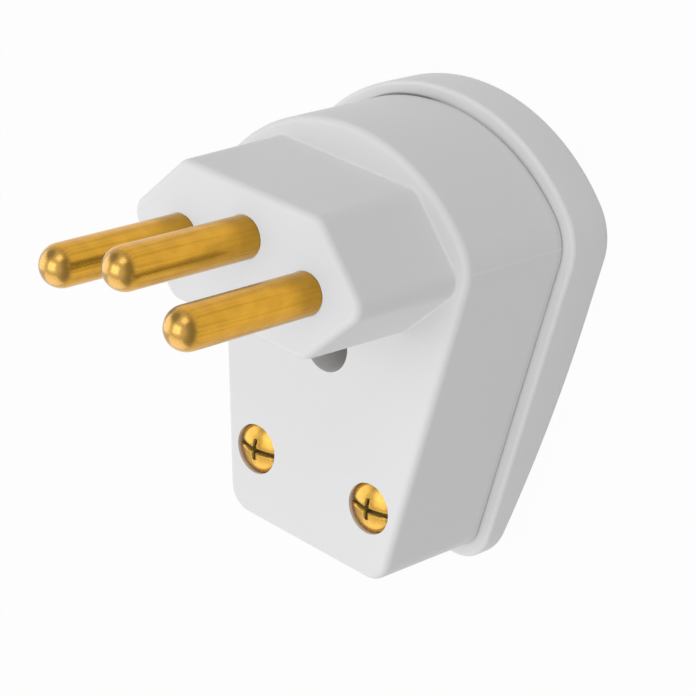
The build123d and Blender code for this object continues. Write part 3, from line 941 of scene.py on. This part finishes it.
@dataclass(frozen=True)
class Thread:
    """The thread of a screw, cut into its plain shank.

    Attributes:
        radius: the shank's radius, which the crests keep.
        depth: how deep the thread is cut.
        pitch: from one crest to the next.
        low: how far above the screw's lowest point the cut starts.
        high: how far below its highest point the cut ends.
        sides: the divisions round it.
        rows_per_turn: the divisions along one pitch.
        margin: what the threaded length leaves free at each end.
        merge: how near the plain screw's points are that become one.

    FLANK is where a groove's side starts and ends, as a share of half the pitch, and SEAM how near
    the tube's points are that become one.
    """

    SOCKETS: ClassVar[dict[str, str]] = {
        "Centre": "NodeSocketVector",
        "Radius": "NodeSocketFloat",
        "Depth": "NodeSocketFloat",
        "Pitch": "NodeSocketFloat",
        "Low": "NodeSocketFloat",
        "High": "NodeSocketFloat",
        "Sides": "NodeSocketInt",
        "Rows": "NodeSocketInt",
        "Finish": "NodeSocketMaterial",
    }
    FLANK: ClassVar[Span] = (0.1, 0.9)
    SEAM: ClassVar[float] = 0.001 * MM

    radius: float
    depth: float
    pitch: float
    low: float
    high: float
    sides: int = 40
    rows_per_turn: int = 10
    margin: float = 0.1 * MM
    merge: float = 0.0005 * MM

    def length_mesh(
        self, centre: Point, low: float, high: float, finish: bpy.types.Material
    ) -> bpy.types.Mesh:
        """Makes the threaded length by Geometry Nodes, as a plain mesh.

        Args:
            centre: a point on the screw's axis.
            low: the height where the thread starts.
            high: the height where it ends.
            finish: its material.

        Returns:
            The mesh of an open tube.
        """
        values = {
            "Centre": (centre[0], centre[1], 0.0),
            "Radius": self.radius,
            "Depth": self.depth,
            "Pitch": self.pitch,
            "Low": low,
            "High": high,
            "Sides": self.sides,
            "Rows": round((high - low) / self.pitch * self.rows_per_turn),
            "Finish": finish,
        }
        carrier = new_object("thread_carrier", bpy.data.meshes.new("thread_carrier"))
        modifier = carrier.modifiers.new("thread", "NODES")
        modifier.node_group = THREAD_TREE
        for socket in THREAD_TREE.interface.items_tree:
            if socket.in_out == "INPUT":
                modifier[socket.identifier] = values[socket.name]
        made = carrier.evaluated_get(bpy.context.evaluated_depsgraph_get())
        mesh = bpy.data.meshes.new_from_object(made)
        bpy.data.objects.remove(carrier)
        return mesh

    def cut(self, node: str, slot: str, finish: bpy.types.Material) -> bpy.types.Object:
        """Makes a threaded copy of a plain screw, which stands for its node.

        Args:
            node: the screw's node.
            slot: the record's material slot of the screw; not used.
            finish: its material.

        Returns:
            The new piece.
        """
        bottom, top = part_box(node)
        centre = ((bottom.x + top.x) / 2, (bottom.y + top.y) / 2, 0.0)
        low, high = bottom.z + self.low, top.z - self.high
        mesh = bmesh.new()
        mesh.from_mesh(cad(node).data)
        bmesh.ops.remove_doubles(mesh, verts=mesh.verts, dist=self.merge)
        for height in (low, high):
            parts = [*mesh.verts, *mesh.edges, *mesh.faces]
            plane = {"plane_co": (0, 0, height), "plane_no": (0, 0, 1)}
            bmesh.ops.bisect_plane(mesh, geom=parts, **plane)
        plain = [face for face in mesh.faces if low < face.calc_center_median().z < high]
        bmesh.ops.delete(mesh, geom=plain, context="FACES")
        mesh.from_mesh(self.length_mesh(centre, low + self.margin, high - self.margin, finish))
        reach = 1.5 * self.margin
        for height in (low, high):
            near = [edge for edge in mesh.edges if abs(edge.verts[0].co.z - height) < reach]
            bmesh.ops.bridge_loops(mesh, edges=[edge for edge in near if edge.is_boundary])
        bmesh.ops.recalc_face_normals(mesh, faces=mesh.faces)
        for face in mesh.faces:
            face.smooth = True
            face.material_index = 0
        data = bpy.data.meshes.new(f"{node}_threaded")
        mesh.to_mesh(data)
        closed = all(edge.is_manifold for edge in mesh.edges)
        mesh.free()
        data.materials.append(finish)
        data.set_sharp_from_angle(angle=SMOOTH_ANGLE)
        piece = new_object(data.name, data)
        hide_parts(node)
        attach(piece, BODY)
        LOG.info("%s: threaded, %d faces, closed %s", node, len(data.polygons), closed)
        return piece


THREAD_TREE = thread_tree()


def axis_of(node: str) -> Point:
    """A point on the upright axis of a turned node, at the height of zero.

    Args:
        node: the node's name.

    Returns:
        The point.
    """
    low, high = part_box(node)
    return (low.x + high.x) / 2, (low.y + high.y) / 2, 0.0


@dataclass
class Pins:
    """The three turned pins with their terminal screws.

    Attributes:
        thread: the thread of a terminal screw.
        metal: the metal of a pin.
        screw_metal: the metal of a terminal screw.
    """

    thread: Thread = Thread(1.95 * MM, depth=0.3 * MM, pitch=0.7 * MM, low=1.6 * MM, high=0.5 * MM)
    metal: TurnedMetal = PIN_BRASS
    screw_metal: TurnedMetal = TERMINAL_STEEL

    def dress(self) -> None:
        """Gives each pin and screw its metal, turned about its own axis, and cuts the threads."""
        for pole in Pole:
            pin, screw = f"{pole.value}_pin", f"{pole.value}_terminal_screw"
            dress(cad(pin), self.metal.material(axis_of(pin)))
            # Its brass lights no plastic: the photo's face is neutral at the pins' feet
            cad(pin).visible_diffuse = False
            self.thread.cut(screw, "terminal_steel", self.screw_metal.material(axis_of(screw)))
            LOG.info("%s pin: turned brass, steel terminal screw", pole.value)


@dataclass
class CoverScrews:
    """The three screws that hold the cover, and their inserts.

    Attributes:
        thread: the thread of a cover screw.
        head_radius: the head's radius.
        dome_rise: how far the head's dome stands over its side.
        head_rise: how far its top stands over its seat.
        head_margin: how far over its seat the dirt and painted shade in the slots end.
        metal: the metal of a cover screw.
        insert_metal: the metal of an insert.
    """

    thread: Thread = Thread(1.5 * MM, depth=0.26 * MM, pitch=0.6 * MM, low=0.5 * MM, high=2.6 * MM)
    head_radius: float = 2.9 * MM
    dome_rise: float = 0.9 * MM
    head_rise: float = 1.8 * MM
    head_margin: float = 0.1 * MM
    metal: TurnedMetal = SCREW_BRASS
    insert_metal: TurnedMetal = INSERT_BRASS

    def dress(self) -> None:
        """Gives each screw its thread and slots darkened by dirt and painted shade, and each insert
        its brass.
        """
        radius = (self.head_radius**2 + self.dome_rise**2) / (2 * self.dome_rise)
        for place in ScrewPlace:
            screw, insert = f"cover_screw_{place.value}", f"cover_insert_{place.value}"
            x, y, _ = axis_of(screw)
            middle = (x, y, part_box(screw)[1].z - radius)
            head = ScrewHead(middle, radius, self.head_rise - self.head_margin)
            self.thread.cut(screw, "screw_brass", self.metal.material((x, y, 0.0), head))
            dress(cad(insert), self.insert_metal.material(axis_of(insert)))
            LOG.info("%s cover screw: plated brass", place.value)


@dataclass
class CordClamp:
    """The bar that holds the cord, with its two screws.

    Attributes:
        thread: the thread of a clamp screw.
        plastic: the plastic of the bar.
        metal: the metal of a clamp screw.
    """

    thread: Thread = Thread(1.4 * MM, depth=0.24 * MM, pitch=0.6 * MM, low=1.3 * MM, high=1.6 * MM)
    plastic: MouldedPlastic = CLAMP_PLASTIC
    metal: TurnedMetal = TERMINAL_STEEL

    def dress(self) -> None:
        """Gives the bar a grey moulded plastic and its screws their thread and a plated steel."""
        dress(cad("cord_clamp"), self.plastic.material())
        for side in ("left", "right"):
            screw = f"clamp_screw_{side}"
            self.thread.cut(screw, "terminal_steel", self.metal.material(axis_of(screw)))
        LOG.info("cord clamp: bar and two screws")


@dataclass
class Viewpoint:
    """The camera.

    Attributes:
        eye: where it stands.
        target: a point in the middle of its picture.
        up: the way that is up in its picture.
        focal_pixels: its focal length, in pixels of the picture.
        sensor: its sensor's width, in millimetres.
        clip: the nearest and the farthest that it sees, in metres.
    """

    eye: Point = (0.175647, 0.099918, 0.216875)
    target: Point = (0.02969, 0.005173, 0.051588)
    up: Point = (-0.345127, 0.912778, -0.218456)
    focal_pixels: float = 2576.52
    sensor: float = 36.0
    clip: Span = (0.01, 20.0)

    def build(self) -> None:
        """Makes the camera and gives it to the scene."""
        data = bpy.data.cameras.new("camera")
        data.sensor_width = self.sensor
        data.lens = self.focal_pixels * self.sensor / FRAME_PIXELS
        data.clip_start, data.clip_end = self.clip
        camera = new_object("camera", data)
        back = (Vector(self.eye) - Vector(self.target)).normalized()
        right = Vector(self.up).cross(back).normalized()
        turn = Matrix((right, back.cross(right), back)).transposed()
        camera.matrix_world = Matrix.Translation(self.eye) @ turn.to_4x4()
        bpy.context.scene.camera = camera


@dataclass(frozen=True)
class Softbox:
    """A square area light.

    Attributes:
        name: its name.
        towards: the direction it stands in, seen from the plug.
        distance: how far it stands from the plug's middle.
        size: the length of its side.
        share: the light it gives a white surface that faces it, where 1 is white.
    """

    name: str
    towards: Point
    distance: float
    size: float
    share: float

    def build(self, middle: Vector) -> None:
        """Makes the light, aimed at the plug's middle.

        Args:
            middle: the point it is aimed at.
        """
        data = bpy.data.lights.new(self.name, "AREA")
        data.shape = "SQUARE"
        data.size = self.size
        data.energy = self.share * pi * pi * self.distance**2
        light = new_object(self.name, data)
        direction = Vector(self.towards).normalized()
        light.location = middle + direction * self.distance
        light.rotation_mode = "QUATERNION"
        light.rotation_quaternion = direction.to_track_quat("Z", "Y")


@dataclass
class Studio:
    """A white floor, a sky and soft lights.

    Attributes:
        floor_half: half the floor's side.
        sheet_reach: the distances between which the white that metal mirrors dims.
        sheet_dim: how far it dims.
        floor_colour: the floor's colour for the light that it sends on.
        floor_white: how white the floor is where it is seen.
        sky: the sky's light.
        dark_way: where the sky that metal mirrors has a dark patch.
        patch: how near to that way the patch starts and is full, as cosines.
        side: how far to the right that sky starts to darken and is dark.
        top: how high up the dark starts to clear and is gone.
        dark_share: how dark it is there.
        lights: the soft lights.
    """

    floor_half: float = 6.0
    sheet_reach: Span = (0.10, 0.40)
    sheet_dim: float = 0.6
    floor_colour: Colour = (0.45, 0.45, 0.45)
    floor_white: float = 0.97
    sky: float = 0.67
    dark_way: Point = (-0.61, 0.61, 0.5)
    patch: Span = (0.85, 0.96)
    side: Span = (0.0, 0.7)
    top: Span = (0.4, 0.9)
    dark_share: float = 0.6
    lights: tuple[Softbox, ...] = (
        Softbox("overhead", (0.0, 0.1, 1.0), 0.9, 0.6, 0.175),
        Softbox("left", (-1.0, 0.0, 0.5), 0.9, 0.8, 0.19),
        Softbox("crown", (0.3, 1.0, 0.6), 0.9, 0.45, 0.085),
        Softbox("foot", (-0.2, -1.0, 0.5), 0.9, 1.0, 0.225),
    )

    def seen(self, nodes: Nodes) -> bpy.types.NodeSocket:
        """How white a ray sees the floor: wholly from the camera, and less far out from a metal.

        Args:
            nodes: the writer of the tree that needs it.

        Returns:
            The output socket.
        """
        path = nodes.add("ShaderNodeLightPath")
        glossy, clear = path.outputs["Is Glossy Ray"], path.outputs["Is Transmission Ray"]
        off = nodes.vector("LENGTH", nodes.place())
        dim = nodes.product(nodes.ramp(off, *self.sheet_reach), self.sheet_dim)
        near = nodes.product(nodes.math("MAXIMUM", glossy, clear), nodes.inverse(dim))
        return nodes.math("MAXIMUM", path.outputs["Is Camera Ray"], near)

    def floor(self) -> None:
        """Lays the floor at the height of the plug's back, nearly white where it is seen."""
        height = CAD_BOX[0].z
        half = self.floor_half
        mesh = bpy.data.meshes.new("floor")
        corners = ((-half, -half), (half, -half), (half, half), (-half, half))
        mesh.from_pydata([(x, y, height) for x, y in corners], [], [(0, 1, 2, 3)])
        floor = new_object("floor", mesh)
        material, nodes, shader = new_material("floor")
        shader.inputs["Base Color"].default_value = (*self.floor_colour, 1.0)
        shader.inputs["Roughness"].default_value = 1.0
        shader.inputs["Specular IOR Level"].default_value = 0.0
        glow = nodes.add("ShaderNodeEmission", Color=(1.0, 1.0, 1.0, 1.0), Strength=1.0)
        share = nodes.product(self.seen(nodes), self.floor_white)
        mixed = nodes.add("ShaderNodeMixShader", _0=share, _1=shader.outputs[0], _2=glow.outputs[0])
        output = material.node_tree.nodes["Material Output"]
        nodes.feed(output.inputs["Surface"], mixed.outputs[0])
        dress(floor, material)

    def dimmed(self, nodes: Nodes) -> bpy.types.NodeSocket:
        """How much darker the sky is that a metal mirrors.

        Args:
            nodes: the writer of the sky's tree.

        Returns:
            The output socket.
        """
        way = nodes.add("ShaderNodeTexCoord").outputs["Generated"]
        across, _, up = nodes.axes(way)
        low = nodes.inverse(nodes.ramp(up, *self.top))
        side = nodes.product(nodes.ramp(across, *self.side), low)
        patch = nodes.ramp(nodes.vector("DOT_PRODUCT", way, self.dark_way), *self.patch)
        return nodes.product(nodes.math("MAXIMUM", side, patch), self.dark_share)

    def world(self) -> None:
        """Makes the sky: white to the camera, even on plastic, and darker to one side in metal."""
        world = bpy.data.worlds.new("studio")
        world.use_nodes = True
        bpy.context.scene.world = world
        nodes = Nodes(world.node_tree)
        sky = world.node_tree.nodes["Background"]
        sky.inputs["Color"].default_value = (1.0, 1.0, 1.0, 1.0)
        path = nodes.add("ShaderNodeLightPath")
        dim = nodes.product(self.dimmed(nodes), path.outputs["Is Glossy Ray"])
        lift = nodes.product(path.outputs["Is Camera Ray"], 1.0 - self.sky)
        lit = nodes.math("ADD", lift, self.sky)
        strength = nodes.math("SUBTRACT", lit, nodes.product(dim, self.sky))
        nodes.feed(sky.inputs["Strength"], strength)

    def build(self) -> None:
        """Builds the floor, the sky and the lights, and sets how the picture is developed."""
        self.floor()
        self.world()
        middle = (CAD_BOX[0] + CAD_BOX[1]) / 2
        for light in self.lights:
            light.build(middle)
        bpy.context.scene.view_settings.view_transform = "Standard"


def main() -> None:
    """Builds and dresses everything in order."""
    logging.basicConfig(level=logging.INFO, format="%(name)s: %(message)s")
    Viewpoint().build()
    Studio().build()
    for assembly in (Housing(), Pins(), CoverScrews(), CordClamp()):
        assembly.dress()


if __name__ == "__main__":
    main()
